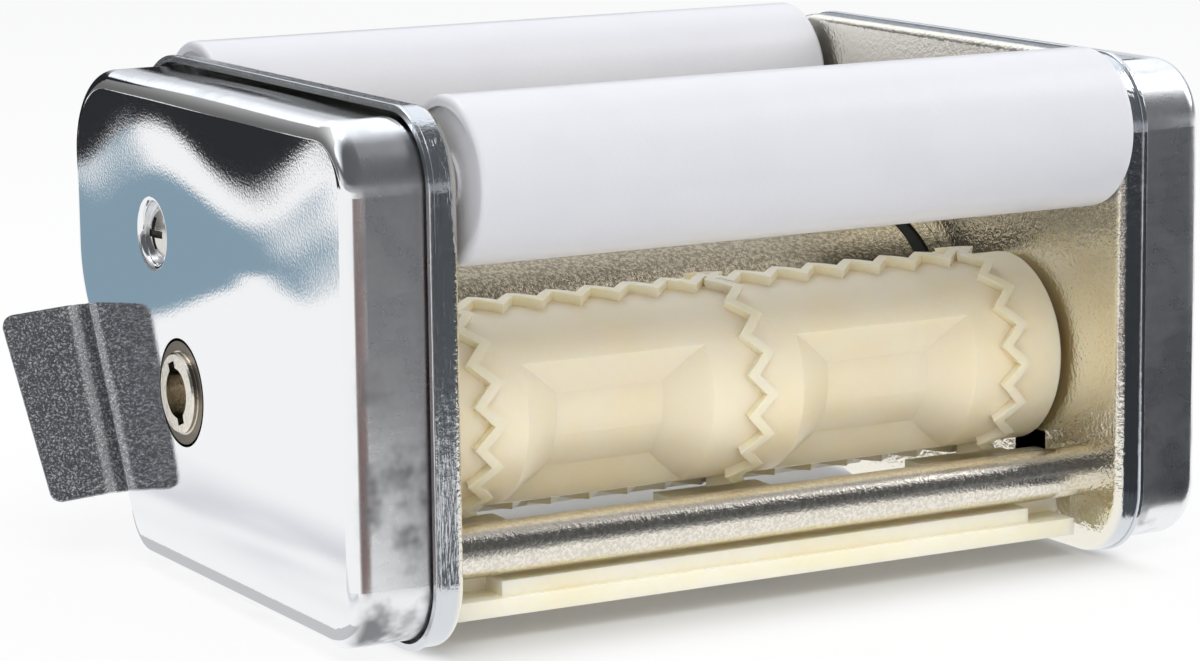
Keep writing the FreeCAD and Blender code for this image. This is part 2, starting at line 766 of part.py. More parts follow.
def gears():
    """The equal pair that turns the two ravioli rollers opposite ways."""
    teeth = int(size("gear_teeth"))
    module = roller_spacing / teeth
    bore = size("shaft_radius") + size("seat_fit")
    for label, y, turn in (("front_gear", front_roller_y, 0), ("back_gear", back_roller_y, 0.5)):
        gear = involute_gear(teeth, module, size("gear_width"), size("gear_backlash"), bore)
        spot = Vector(-gear_start - size("gear_width"), y, size("roller_height"))
        keep_shape(label, gear, Placement(spot, Rotation(Vector(1, 0, 0), 360 / teeth * turn)))


def drive_socket():
    """Tube on the back shaft's end that takes the crank's keyed end."""
    end = -gear_start - size("gear_width")
    mouth = -cover_face - size("socket_nose")
    floor = mouth + size("socket_depth")
    nose = rod_along_x(size("socket_nose_radius"), mouth, end)
    rim = [edge for edge in nose.Edges if abs(edge.BoundBox.XMax - mouth) < 1e-6]
    nose = nose.makeChamfer(size("socket_edge"), rim)
    tube = rod_along_x(size("socket_radius"), -cover_face, end).fuse(nose)
    tube = tube.cut(rod_along_x(size("socket_bore"), mouth - 1, floor))
    reach, wide = size("notch_reach"), size("socket_notch")
    notch = Part.makeBox(floor - mouth + 1, 2 * reach, wide, Vector(mouth - 1, -reach, -wide / 2))
    notch.rotate(Vector(0, 0, 0), Vector(1, 0, 0), size("notch_turn"))
    tube = tube.cut(notch)
    grip = size("socket_grip") + size("seat_fit")
    tube = tube.cut(rod_along_x(size("shaft_radius") + size("seat_fit"), end - grip, end + 1))
    spot = Vector(0, back_roller_y, size("roller_height"))
    keep_shape("drive_socket", tube.removeSplitter(), Placement(spot, Rotation()))


# ---- feed rollers

def feed_roller(label, y):
    half = "(inner_width / 2 - feed_end_gap)"
    body = turned_body(label + "_feed_roller",
                       [("-" + half, "2 * " + half, "feed_radius", "feed_radius - feed_wall")],
                       y, FEED_HEIGHT)
    tube = body.Tip
    reach = inner_half - size("feed_end_gap")
    span = 2 * size("feed_radius")
    rims = edges_at(tube.Shape, -reach, span) + edges_at(tube.Shape, reach, span)
    add_fillet(body, tube, rims, "feed_edge")
    plugs = []
    bore = "feed_axle + axle_fit"
    for side, way in SIDES.items():
        name = label + "_plug_" + side
        disc_start, hub_start = half + " - plug_recess - plug_depth", half + " - plug_recess - plug_depth"
        if way < 0:
            disc_start, hub_start = "-(" + half + " - plug_recess)", "-" + half
        disc = ring(name + "_disc", disc_start, "plug_depth", "feed_radius - feed_wall", bore,
                    y, FEED_HEIGHT)
        hub = ring(name + "_hub", hub_start, "plug_depth + plug_recess", "plug_hub", bore,
                   y, FEED_HEIGHT)
        plug = doc.addObject("Part::Fuse", name)
        plug.Base, plug.Tool = disc, hub
        plugs.append(plug)
    group(label + "_feed_plugs", plugs)
    outside = "(inner_width / 2 + tray_sheet)"
    turned_body(label + "_feed_axle",
                [("-" + outside, "2 * " + outside, "feed_axle", None),
                 ("-" + outside + " - axle_head_height", "axle_head_height", "axle_head", None),
                 (outside, "axle_head_height", "axle_head", None)],
                y, FEED_HEIGHT)


# ---- tie rods

def tie_rod(label, y):
    half = "inner_width / 2"
    bore = "stud_radius + stud_fit"
    turned_body(label + "_tie_sleeve",
                [("-" + half, "inner_width - tie_spacer", "tie_radius", bore)], y, "tie_height")
    turned_body(label + "_tie_spacer",
                [(half + " - tie_spacer", "tie_spacer", "tie_radius", bore)], y, "tie_height")
    reach = "(inner_width / 2 + tray_sheet + stud_overhang)"
    turned_body(label + "_tie_stud", [("-" + reach, "2 * " + reach, "stud_radius", None)],
                y, "tie_height")
    nuts = []
    for side, way in SIDES.items():
        nut = doc.addObject("Part::Prism", label + "_nut_" + side)
        nut.Polygon = 6
        nut.setExpression("Circumradius", formula("nut_radius"))
        nut.setExpression("Height", formula("nut_height"))
        nut.Placement.Rotation = Rotation(Vector(0, 1, 0), 90)
        start = "inner_width / 2 + tray_sheet" if way > 0 else "-inner_width / 2 - tray_sheet - nut_height"
        place(nut, start, y, "tie_height")
        hole = doc.addObject("Part::Cylinder", label + "_nut_hole_" + side)
        hole.setExpression("Radius", formula("stud_radius + seat_fit"))
        hole.setExpression("Height", formula("nut_height"))
        hole.Placement.Rotation = Rotation(Vector(0, 1, 0), 90)
        place(hole, start, y, "tie_height")
        cut = doc.addObject("Part::Cut", label + "_tie_nut_" + side)
        cut.Base, cut.Tool = nut, hole
        nuts.append(cut)
    group(label + "_tie_nuts", nuts)


# ---- combs and dough guide

def strip_comb(label, mirrored):
    """A bar below a tie rod with fingers that reach up to the roller's rings."""
    def across(y):
        return 2 * size("nip_back") - y if mirrored else y

    def block(points, start, end):
        return prism([(across(y), z) for y, z in points], start, end)

    def slab(low_y, high_y, low_z, high_z, start, end):
        return block([(low_y, low_z), (high_y, low_z), (high_y, high_z), (low_y, high_z)], start, end)

    half = inner_half - size("comb_end_gap")
    front, back = tray_front + size("comb_front"), tray_front + size("comb_back")
    bottom = size("comb_bottom")
    bar_top = bottom + size("comb_bar_height")
    rib_top = bar_top + size("comb_rib_height")
    rib = size("comb_rib_length") / 2
    comb = slab(front, back, bottom, bar_top, -half, half)
    comb = comb.fuse(slab(front + size("comb_rib_setback"), back, bottom, rib_top, -rib, rib))
    under = size("roller_height") - size("ridge_radius") - size("finger_gap")
    low = under - size("finger_sheet")
    tip = front_roller_y + size("finger_past")
    root = back - size("finger_root")
    finger = [(root, bottom), (back, bottom), (tip, low), (tip, under),
              (tip - size("finger_past") - size("finger_run"), under), (root, rib_top)]
    wide = size("finger_width") / 2
    for along in (-1, 0, 1):
        middle = along * size("ring_pitch")
        comb = comb.fuse(block(finger, middle - wide, middle + wide))
    peg_y = tray_front + size("peg_back")
    peg_z = size("peg_bottom")
    peg_top = peg_z + size("peg_height")
    arm = size("arm_width")
    arm_points = [(root, bottom), (back, bottom), (peg_y + size("peg_width"), peg_z),
                  (peg_y + size("peg_width"), peg_top), (peg_y, peg_top), (root, bar_top)]
    for way in (-1, 1):
        inner, outer = sorted((way * half, way * (half - arm)))
        comb = comb.fuse(block(arm_points, inner, outer))
        inner, outer = sorted((way * (half - size("peg_root")), way * (half + size("peg_reach"))))
        comb = comb.fuse(slab(peg_y, peg_y + size("peg_width"), peg_z, peg_top, inner, outer))
    keep_shape(label, comb.removeSplitter())


def sector(radius_in, radius_out, low, high, start, end):
    """A curved plate round the back roller's axis, between two angles from +Y."""
    middle = Vector(start, back_roller_y, size("roller_height"))

    def point(radius, angle):
        turn = math.radians(angle)
        return middle + Vector(0, radius * math.cos(turn), radius * math.sin(turn))

    def arc(radius, first, last):
        ends = point(radius, first), point(radius, (first + last) / 2), point(radius, last)
        return Part.Arc(*ends).toShape()

    edges = [arc(radius_out, low, high), Part.makeLine(point(radius_out, high), point(radius_in, high)),
             arc(radius_in, high, low), Part.makeLine(point(radius_in, low), point(radius_out, low))]
    return Part.Face(Part.Wire(edges)).extrude(Vector(end - start, 0, 0))


def dough_guide():
    """Curved sheet over the back ravioli roller, with a tab into each side tray.

    A slit near each of its ends is backed by a strip of felt."""
    inside = size("ridge_radius") + size("guide_gap")
    outside = inside + size("guide_sheet")
    high, low = size("guide_high_angle"), size("guide_low_angle")
    half = inner_half - size("guide_end_gap")
    guide = sector(inside, outside, high, low, -half, half)
    turn = math.radians(high)
    along = Vector(0, math.sin(turn), -math.cos(turn))
    start = [Vector(0, back_roller_y + r * math.cos(turn), size("roller_height") + r * math.sin(turn))
             for r in (inside, outside)]
    run = along * size("guide_run")
    corners = [start[0], start[1], start[1] + run, start[0] + run]
    guide = guide.fuse(prism([(p.y, p.z) for p in corners], -half, half))
    reach = inner_half + size("guide_tab_reach")
    tab_high, tab_low = size("guide_tab_high_angle"), size("guide_tab_low_angle")
    guide = guide.fuse(sector(inside, outside, tab_high, tab_low, -reach, reach))
    slit_high, slit_low = size("slit_high_angle"), size("slit_low_angle")
    lap, turn_lap = size("felt_lap"), size("felt_lap_angle")
    felt_top = inside - size("seat_fit")
    margin = size("guide_sheet")
    felts = []
    for way in (-1, 1):
        slit_end = half - size("slit_inset")
        near, far = sorted((way * (slit_end - size("slit_width")), way * slit_end))
        slit = sector(inside - margin, outside + margin, slit_high, slit_low, near, far)
        guide = guide.cut(slit)
        felts.append(sector(felt_top - size("felt_sheet"), felt_top, slit_high - turn_lap,
                            slit_low + turn_lap, near - lap, far + lap))
    keep_shape("dough_guide", guide.removeSplitter())
    keep_shape("guide_felts", Part.makeCompound(felts))


# ---- hook plates

def hook_plate(side):
    """Plate riveted to the cover's slanted back, with a fold past the face and a flared leaf."""
    way = SIDES[side]
    foot, reach, sheet_up = size("hook_foot") + size("hook_stand"), size("hook_reach"), size("hook_sheet")
    half = size("hook_length") / 2
    flat = Part.makeBox(foot, sheet_up, 2 * half, Vector(-foot, 0, -half))
    outline = [Vector(0, 0, -half), Vector(reach - size("hook_taper"), 0, -half),
               Vector(reach, 0, half), Vector(0, 0, half)]
    leaf = Part.Face(Part.makePolygon(outline + outline[:1])).extrude(Vector(0, sheet_up, 0))
    corners = [edge for edge in leaf.Edges if edge.BoundBox.YLength > sheet_up * 0.9
               and edge.BoundBox.XMin > reach / 2]
    leaf = leaf.makeFillet(size("hook_corner"), corners)
    leaf.rotate(Vector(0, 0, 0), Vector(0, 0, 1), size("hook_flare"))
    plate = flat.fuse(leaf).removeSplitter()
    plate = plate.makeFillet(size("hook_bend"), fold_edges(plate, 0, 0))
    turn = math.radians(size("hook_flare"))
    plate = plate.makeFillet(size("hook_bend") - sheet_up,
                             fold_edges(plate, -sheet_up * math.tan(turn / 2), sheet_up))
    holes = [rivet_spot(end) for end in (-1, 1)]
    for spot in holes:
        plate = plate.cut(Part.makeCylinder(size("rivet_radius") + size("seat_fit"), sheet_up * 4,
                                            spot - Vector(0, sheet_up * 2, 0), Vector(0, 1, 0)))
    plate = plate.removeSplitter()
    rivet = []
    cover = size("cover_sheet")
    for spot in holes:
        shank = Part.makeCylinder(size("rivet_radius"), cover + sheet_up, spot - Vector(0, cover, 0),
                                  Vector(0, 1, 0))
        heads = [Part.makeCylinder(size("rivet_head"), size("rivet_head_height"),
                                   spot + Vector(0, sheet_up, 0), Vector(0, 1, 0)),
                 Part.makeCylinder(size("rivet_head"), size("rivet_head_height"),
                                   spot - Vector(0, cover, 0), Vector(0, -1, 0))]
        rivet.append(shank.fuse(heads).removeSplitter())
    lean = Placement(Vector(0, 0, 0), Rotation(Vector(1, 0, 0), -size("back_slant")))
    spot = Vector(hook_fold, wall_back(size("hook_middle")), size("hook_middle"))
    pieces = [plate, Part.makeCompound(rivet)]
    for i, piece in enumerate(pieces):
        piece.Placement = Placement(spot, Rotation()).multiply(lean)
        if way < 0:
            pieces[i] = piece.mirror(Vector(0, 0, 0), Vector(1, 0, 0))
    keep_shape(side + "_hook_plate", pieces[0])
    keep_shape(side + "_hook_rivets", pieces[1])


def fold_edges(plate, x, y):
    """The upright edges of a plate that stand at one place."""
    return [edge for edge in plate.Edges if edge.BoundBox.ZLength > size("hook_length") * 0.9
            and math.hypot(edge.CenterOfMass.x - x, edge.CenterOfMass.y - y) < 1e-3]


def rivet_spot(end):
    """Where a rivet sits on the hook's foot, end being -1 below and 1 above."""
    return Vector(-size("hook_stand") - size("hook_foot") + size("rivet_inset"), 0,
                  end * (size("hook_length") / 2 - size("rivet_end_inset")))


def wall_back(height):
    """The Y of the cover's slanted back wall at a height."""
    knee = size("knee_height") - size("corner_knee") * math.tan(slant / 2)
    return tray_back - (knee - height) * math.tan(slant) - cover_inset / math.cos(slant)


def rivet_holes():
    """Holes in the covers' slanted backs for the hook plates' rivets."""
    for side, way in SIDES.items():
        body = [node for node in nodes if node.Label == side + "_end_cover"][0]
        lean = Rotation(Vector(1, 0, 0), -size("back_slant"))
        reach = 4 * size("cover_sheet")
        tools = []
        for end in (-1, 1):
            spot = rivet_spot(end)
            centre = Vector(way * (hook_fold + spot.x), 0, 0) + lean.multVec(Vector(0, 0, spot.z))
            centre += Vector(0, wall_back(size("hook_middle")), size("hook_middle"))
            tools.append(Part.makeCylinder(size("rivet_radius") + size("seat_fit"), 2 * reach,
                                           centre - lean.multVec(Vector(0, reach, 0)),
                                           lean.multVec(Vector(0, 1, 0))))
        drills = doc.addObject("Part::Feature", side + "_rivet_drills")
        drills.Shape = Part.makeCompound(tools)
        cut = doc.addObject("Part::Cut", side + "_cover_drilled")
        cut.Base, cut.Tool = body, drills
        nodes.remove(body)
        body.Label = side + "_cover_pressing"
        keep(cut, side + "_end_cover")


# ---- the whole object

for side in SIDES:
    side_tray(side)
    end_cover(side)
    cover_post(side)
    cover_screw(side)
    hook_plate(side)
rivet_holes()
ravioli_roller("front_ravioli_roller", front_roller_y, -1)
ravioli_roller("back_ravioli_roller", back_roller_y, 1)
shafts_and_rings()
shaft_bushes("front_shaft_bushes", FRONT_ROLLER)
shaft_bushes("back_shaft_bushes", BACK_ROLLER)
gears()
drive_socket()
feed_roller("front", "-feed_span / 2")
feed_roller("back", "feed_span / 2")
tie_rod("front", FRONT_TIE)
tie_rod("back", BACK_TIE)
strip_comb("front_strip_comb", False)
strip_comb("back_strip_comb", True)
dough_guide()

doc.recompute()
for item in doc.Objects:
    if {"Invalid", "Error"} & set(item.State):
        raise RuntimeError("%s: %s" % (item.Label, item.State))
for node in nodes:
    if node.Shape.isNull() or not node.Shape.isValid():
        raise RuntimeError(node.Label + " has no valid shape")

os.makedirs("parts", exist_ok=True)
for node in nodes:
    node.Shape.exportStep("parts/" + node.Label + ".step")
print(len(nodes), "nodes written")
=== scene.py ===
import math

import bpy
from mathutils import Matrix, Vector


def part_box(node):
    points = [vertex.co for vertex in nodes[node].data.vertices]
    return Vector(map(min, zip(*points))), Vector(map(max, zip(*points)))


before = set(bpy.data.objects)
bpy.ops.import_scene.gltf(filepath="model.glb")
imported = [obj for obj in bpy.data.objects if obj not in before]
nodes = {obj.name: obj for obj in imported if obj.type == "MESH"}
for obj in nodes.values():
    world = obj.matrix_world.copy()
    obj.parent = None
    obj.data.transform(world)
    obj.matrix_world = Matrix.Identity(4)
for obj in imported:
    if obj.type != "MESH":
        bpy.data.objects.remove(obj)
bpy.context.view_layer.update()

# The maker stands on the floor at Z = 0, rollers along X, its front towards -Y. Lengths are in metres.
# A pair of numbers is where a change over the surface starts and where it ends.
white = (1.0, 1.0, 1.0, 1.0)


def linear(hexColour):
    parts = [int(hexColour[i:i + 2], 16) / 255 for i in (0, 2, 4)]
    return tuple(p / 12.92 if p <= 0.04045 else ((p + 0.055) / 1.055) ** 2.4 for p in parts) + (1.0,)


class Wire:
    # a node's output that takes part in sums

    def __init__(self, tree, socket):
        self.tree = tree
        self.socket = socket

    def sum(self, operation, first, second):
        node = self.tree.nodes.new("ShaderNodeMath")
        node.operation = operation
        for slot, value in zip(node.inputs, (first, second)):
            plug(self.tree, slot, value)
        return Wire(self.tree, node.outputs[0])

    def __add__(self, other):
        return self.sum("ADD", self, other)

    def __radd__(self, other):
        return self.sum("ADD", other, self)

    def __sub__(self, other):
        return self.sum("SUBTRACT", self, other)

    def __rsub__(self, other):
        return self.sum("SUBTRACT", other, self)

    def __mul__(self, other):
        return self.sum("MULTIPLY", self, other)

    def __rmul__(self, other):
        return self.sum("MULTIPLY", other, self)

    def __truediv__(self, other):
        return self.sum("DIVIDE", self, other)

    def __pow__(self, other):
        return self.sum("POWER", self, other)


def plug(tree, slot, value):
    if isinstance(value, Wire):
        tree.links.new(value.socket, slot)
    else:
        slot.default_value = value


class Shading:
    # a node tree, and the coordinates that its textures follow

    def __init__(self, tree, coordinates):
        self.tree = tree
        self.tree.nodes.clear()
        self.place = self.add("TexCoord", output=coordinates)

    def add(self, kind, settings=None, values=None, output=0):
        node = self.tree.nodes.new("ShaderNode" + kind)
        for name, value in (settings or {}).items():
            setattr(node, name, value)
        for name, value in (values or {}).items():
            plug(self.tree, node.inputs[name], value)
        return Wire(self.tree, node.outputs[output]) if node.outputs else None

    def axis(self, letter):
        return self.add("SeparateXYZ", values={"Vector": self.place}, output=letter)

    def fromMiddle(self, letter):
        return self.add("Math", {"operation": "ABSOLUTE"}, {0: self.axis(letter)})

    def fromLine(self, y, z):
        # distance from the line along X at this y and z
        sideways, upward = self.axis("Y") - y, self.axis("Z") - z
        return (sideways * sideways + upward * upward) ** 0.5

    def noise(self, size, detail=2.0, rough=0.5, stretch=None):
        place = self.place
        if stretch:
            place = self.add("VectorMath", {"operation": "MULTIPLY"}, {0: place, 1: stretch})
        return self.add("TexNoise", values={"Vector": place, "Scale": 1 / size, "Detail": detail,
                                            "Roughness": rough})

    def step(self, value, low, high):
        return self.add("MapRange", {"interpolation_type": "SMOOTHSTEP"},
                        {"Value": value, "From Min": low, "From Max": high})

    def mix(self, factor, first, second):
        return self.add("Mix", {"data_type": "RGBA"}, {0: factor, 6: first, 7: second}, output=2)

    def bump(self, height, distance, normal=None):
        values = {"Height": height, "Distance": distance}
        if normal:
            values["Normal"] = normal
        return self.add("Bump", values=values)


class Finish(Shading):
    # one material

    def __init__(self, name):
        self.material = bpy.data.materials.new(name)
        self.material.use_nodes = True
        super().__init__(self.material.node_tree, "Object")

    def surface(self, **values):
        named = {name.replace("_", " "): value for name, value in values.items()}
        shader = self.add("BsdfPrincipled", values=named)
        self.add("OutputMaterial", values={"Surface": shader})
        return self.material


coverLook = {
    "colour": linear("F0F1F3"),
    "face": (0.0950, 0.0982),
    "faceRough": 0.035,
    "wallRough": 0.34,
    "front": (-0.058, -0.065),
    "frontRough": 0.27,
    "ledge": (0.0935, 0.0885),
    "ledgeRough": 0.09,
    "roofEdge": (0.003, 0.001),  # below the cover's top
    "grainSize": 0.0006,
    "grainDepth": 0.000005,
    "drawnSize": 0.0020,
    "drawnStretch": (0.15, 1.0, 1.0),
    "drawnDepth": 0.00003,
    "stain": linear("8E8F92"),
    "stainSize": 0.011,
    "stainEdge": (0.42, 0.72),
    "stainFoot": (0.075, 0.020),
    "stainAbove": 0.4,
    "stainRough": 0.30,
    "wavePitch": 0.095,
    "waveStart": 0.024,
    "waveTilt": 0.0172,
    "waveHeight": 0.08,
    "waveRise": (0.045, 0.080),
}


def coverSteel():
    # polished on the slightly wavy face and on the ledge beside the tray, satin round the walls
    look = Finish("coverSteel")
    across, height = look.fromMiddle("X"), look.axis("Z")
    face = look.step(across, *coverLook["face"])
    front = look.step(look.axis("Y"), *coverLook["front"])
    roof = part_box("left_end_cover")[1][2]
    roofStart, roofEnd = (roof - down for down in coverLook["roofEdge"])
    ledge = look.step(height, roofStart, roofEnd) * look.step(across, *coverLook["ledge"])

    turn = (look.axis("Y") + coverLook["waveStart"]) * (2 * math.pi / coverLook["wavePitch"])
    wave = look.add("Math", {"operation": "COSINE"}, {0: turn})
    rise = look.step(height, *coverLook["waveRise"])
    sway = wave * (height - coverLook["waveHeight"]) * rise * -coverLook["waveTilt"]
    grain = look.noise(coverLook["grainSize"], 2.0, 0.6)
    drawn = look.noise(coverLook["drawnSize"], 3.0, 0.6, coverLook["drawnStretch"])
    skin = grain * face * coverLook["grainDepth"] + drawn * (1 - face) * coverLook["drawnDepth"]

    cloud = look.noise(coverLook["stainSize"], 3.0, 0.6)
    above = coverLook["stainAbove"]
    low = look.step(height, *coverLook["stainFoot"]) * (1 - above) + above
    stain = look.step(cloud, *coverLook["stainEdge"]) * (1 - face) * low * (1 - ledge)

    satin = front * (coverLook["frontRough"] - coverLook["wallRough"]) + coverLook["wallRough"]
    rough = face * (coverLook["faceRough"] - satin) + satin
    rough = ledge * (coverLook["ledgeRough"] - rough) + rough
    return look.surface(
        Base_Color=look.mix(stain, coverLook["colour"], coverLook["stain"]), Metallic=1.0,
        Roughness=rough + stain * coverLook["stainRough"],
        Normal=look.bump(skin, 1.0, look.bump(sway, 1.0)))


trayLook = {
    "colour": linear("EFEBDF"),
    "rough": 0.12,
    "lip": (0.0766, 0.0782),
    # painted reflection: the lip's cooler, darker colour
    "lipReflectionTone": linear("D6DADE"),
    "lipRough": 0.16,
    "lipPebble": 0.2,
    "pebbleSize": 0.0011,
    "pebbleDepth": 0.00021,
    "rippleSize": 0.0035,
    "rippleDepth": 0.00007,
    "streakSize": 0.0008,
    "streakStretch": (1.0, 1.0, 0.12),
    "streakDepth": 0.00009,
}


def trayPlate():
    # bright plating; its flat sheet is pebbled, its rolled lip is smoother and has a cooler, darker colour
    # as a painted reflection
    look = Finish("trayPlate")
    lip = look.step(look.fromMiddle("X"), *trayLook["lip"])
    pebble = look.noise(trayLook["pebbleSize"], 2.0, 0.6) * (1 - lip * (1 - trayLook["lipPebble"]))
    ripple = look.noise(trayLook["rippleSize"], 2.0, 0.5)
    streak = look.noise(trayLook["streakSize"], 2.0, 0.6, trayLook["streakStretch"]) * lip
    height = pebble * trayLook["pebbleDepth"] + ripple * trayLook["rippleDepth"]
    height = height + streak * trayLook["streakDepth"]
    return look.surface(
        Base_Color=look.mix(lip, trayLook["colour"], trayLook["lipReflectionTone"]), Metallic=1.0,
        Roughness=lip * (trayLook["lipRough"] - trayLook["rough"]) + trayLook["rough"],
        Normal=look.bump(height, 1.0))


platingLook = {
    "grainSize": 0.0009,
    "patchSize": 0.008,
    "wornShare": 0.3,
    "fleckEdge": (0.58, 0.42),
    "rough": 0.10,
    "roughSpread": 0.06,
}
platings = {
    "brightNickel": {"bright": "F4EFE4", "worn": "A39A88", "grainDepth": 0.00011, "flecks": 0.22},
    # painted shade: the guide's colours are the bright nickel's, darkened for the shade it lies in
    "shadedGuidePlate": {"bright": "B9AE97", "worn": "5E5644", "grainDepth": 0.00018, "flecks": 0.5},
}


def platingParts(look):
    # the sandy grain, the worn patches and the roughness that follows them
    grain = look.noise(platingLook["grainSize"], 3.0, 0.75)
    patch = look.noise(platingLook["patchSize"], 3.0, 0.6)
    return grain, patch, (patch - 0.5) * platingLook["roughSpread"] + platingLook["rough"]


def brightPlating(name):
    look = Finish(name)
    plating = platings[name]
    grain, patch, rough = platingParts(look)
    flecks = look.step(grain, *platingLook["fleckEdge"]) * plating["flecks"]
    worn = patch * platingLook["wornShare"] + flecks
    return look.surface(
        Base_Color=look.mix(worn, linear(plating["bright"]), linear(plating["worn"])), Metallic=1.0,
        Roughness=rough, Normal=look.bump(grain, plating["grainDepth"]))


socketLook = {
    "colour": linear("F0EADF"),
    "worn": linear("B8AE9A"),
    # painted shade: the darker colour of the collar, which lies in the window's shade
    "collar": linear("7C7468"),
    "collarEdge": (0.0085, 0.0087),
    "collarRough": 0.2,
    "grainDepth": 0.00008,
}


def socketNickel():
    # bright nose; the collar round it, inside the cover's window, is duller, and its darker colour is
    # painted shade
    look = Finish("socketNickel")
    corners = [Vector(corner) for corner in nodes["drive_socket"].bound_box]
    middle = sum(corners, Vector()) / len(corners)
    collar = look.step(look.fromLine(middle.y, middle.z), *socketLook["collarEdge"])
    grain, patch, rough = platingParts(look)
    nose = look.mix(patch * platingLook["wornShare"], socketLook["colour"], socketLook["worn"])
    return look.surface(
        Base_Color=look.mix(collar, nose, socketLook["collar"]), Metallic=1.0,
        Roughness=rough + collar * socketLook["collarRough"],
        Normal=look.bump(grain, socketLook["grainDepth"]))


screwLook = {
    "colour": linear("D9D7D2"),
    "rough": 0.22,
    "grainSize": 0.0006,
    "grainDepth": 0.00003,
    # painted shade: the dark colour of the cross recess
    "recessShade": linear("2E2C29"),
    "recessShadeRough": 0.25,
    "recessFloor": (0.09756, 0.09746),
    "recessEdge": (0.0036, 0.0035),
}


def screwNickel():
    # pale plated head, with painted shade darkening its cross recess
    look = Finish("screwNickel")
    low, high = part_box("left_cover_screw")
    spread = look.fromLine((low[1] + high[1]) / 2, (low[2] + high[2]) / 2)
    sunk = look.step(look.fromMiddle("X"), *screwLook["recessFloor"])
    sunk = sunk * look.step(spread, *screwLook["recessEdge"])
    grain = look.noise(screwLook["grainSize"], 2.0, 0.6)
    return look.surface(
        Base_Color=look.mix(sunk, screwLook["colour"], screwLook["recessShade"]), Metallic=1.0,
        Roughness=sunk * screwLook["recessShadeRough"] + screwLook["rough"],
        Normal=look.bump(grain, screwLook["grainDepth"]))


hookLook = {
    "colour": linear("727378"),
    "flecksAndFoldHighlight": linear("FFFFFF"),
    "rough": 0.26,
    "grainSize": 0.00045,
    "grainDepth": 0.00036,
    "fleckEdge": (0.50, 0.60),
    "fleckShare": 0.7,
    "foldInside": (0.0990, 0.1002),
    "foldOutside": (0.1024, 0.1012),
    # painted highlight: how far the fold is lightened towards white; the flecks are the grain
    "foldHighlight": 0.6,
}


def darkNickel():
    # duller plating with a dark, sandy grain of pale flecks, and a painted highlight lightening it along the
    # fold
    look = Finish("darkNickel")
    grain = look.noise(hookLook["grainSize"], 3.0, 0.75)
    fleck = look.step(grain, *hookLook["fleckEdge"])
    across = look.fromMiddle("X")
    fold = look.step(across, *hookLook["foldInside"]) * look.step(across, *hookLook["foldOutside"])
    flecksAndFoldHighlight = fleck * hookLook["fleckShare"] + fold * hookLook["foldHighlight"]
    return look.surface(
        Base_Color=look.mix(flecksAndFoldHighlight, hookLook["colour"], hookLook["flecksAndFoldHighlight"]), Metallic=1.0,
        Roughness=hookLook["rough"], Normal=look.bump(grain, hookLook["grainDepth"]))


steelLook = {
    "colour": linear("B5B4B2"),
    "rough": 0.2,
    "roughSpread": 0.2,
    "turnedSize": 0.0005,
    "turnedStretch": (1.0, 0.15, 0.15),
    "turnedDepth": 0.00003,
}


def turnedSteel():
    look = Finish("turnedSteel")
    turned = look.noise(steelLook["turnedSize"], 2.0, 0.5, steelLook["turnedStretch"])
    return look.surface(
        Base_Color=steelLook["colour"], Metallic=1.0,
        Roughness=turned * steelLook["roughSpread"] + steelLook["rough"],
        Normal=look.bump(turned, steelLook["turnedDepth"]))


plasticLook = {
    "cloudSize": 0.02,
    "cloudEdge": (0.35, 0.75),
    "cloudShare": 0.5,
    "roughSpread": 0.08,
    "skinSize": 0.0009,
    "skinDepth": 0.00002,
    "scatterReach": 0.006,
}
plastics = {
    "creamPlastic": {"colour": "EFE6D0", "deep": "ECDCB4", "rough": 0.34, "scatter": 0.55,
                     "tint": (1.0, 0.75, 0.32)},
    # painted light: the combs' colours are the cream plastic's made paler, for the lamp falling on their
    # fronts
    "litCombPlastic": {"colour": "F6F0DF", "deep": "F2E6C2", "rough": 0.36, "scatter": 0.60,
                    "tint": (1.0, 0.78, 0.30)},
    "whitePlastic": {"colour": "DADADF", "deep": "D4D4DA", "rough": 0.30, "scatter": 0.15,
                     "tint": (1.0, 0.95, 0.9)},
    "acetal": {"colour": "ECEAE4", "deep": "E4E1DA", "rough": 0.40, "scatter": 0.15,
               "tint": (1.0, 0.95, 0.85)},
}


def mouldedPlastic(name):
    # milky plastic with faint flow marks and a fine moulded skin
    look = Finish(name)
    plastic = plastics[name]
    cloud = look.noise(plasticLook["cloudSize"], 3.0, 0.55)
    skin = look.noise(plasticLook["skinSize"], 2.0, 0.5)
    flow = look.step(cloud, *plasticLook["cloudEdge"]) * plasticLook["cloudShare"]
    return look.surface(
        Base_Color=look.mix(flow, linear(plastic["colour"]), linear(plastic["deep"])),
        Roughness=plastic["rough"] + (cloud - 0.5) * plasticLook["roughSpread"],
        Normal=look.bump(skin, plasticLook["skinDepth"]), Subsurface_Weight=plastic["scatter"],
        Subsurface_Scale=plasticLook["scatterReach"], Subsurface_Radius=plastic["tint"])


slotShadeFeltLook = {
    "colour": linear("1B1D1A"),
    "rough": 0.9,
    "fibreSize": 0.0004,
    "fibreDepth": 0.0001,
}


# a black strip under the guide's slot, whose black colour is painted shade inside the slot
def slotShadeFelt():
    look = Finish("slotShadeFelt")
    fibre = look.noise(slotShadeFeltLook["fibreSize"], 2.0, 0.6)
    return look.surface(Base_Color=slotShadeFeltLook["colour"], Roughness=slotShadeFeltLook["rough"],
                        Normal=look.bump(fibre, slotShadeFeltLook["fibreDepth"]))


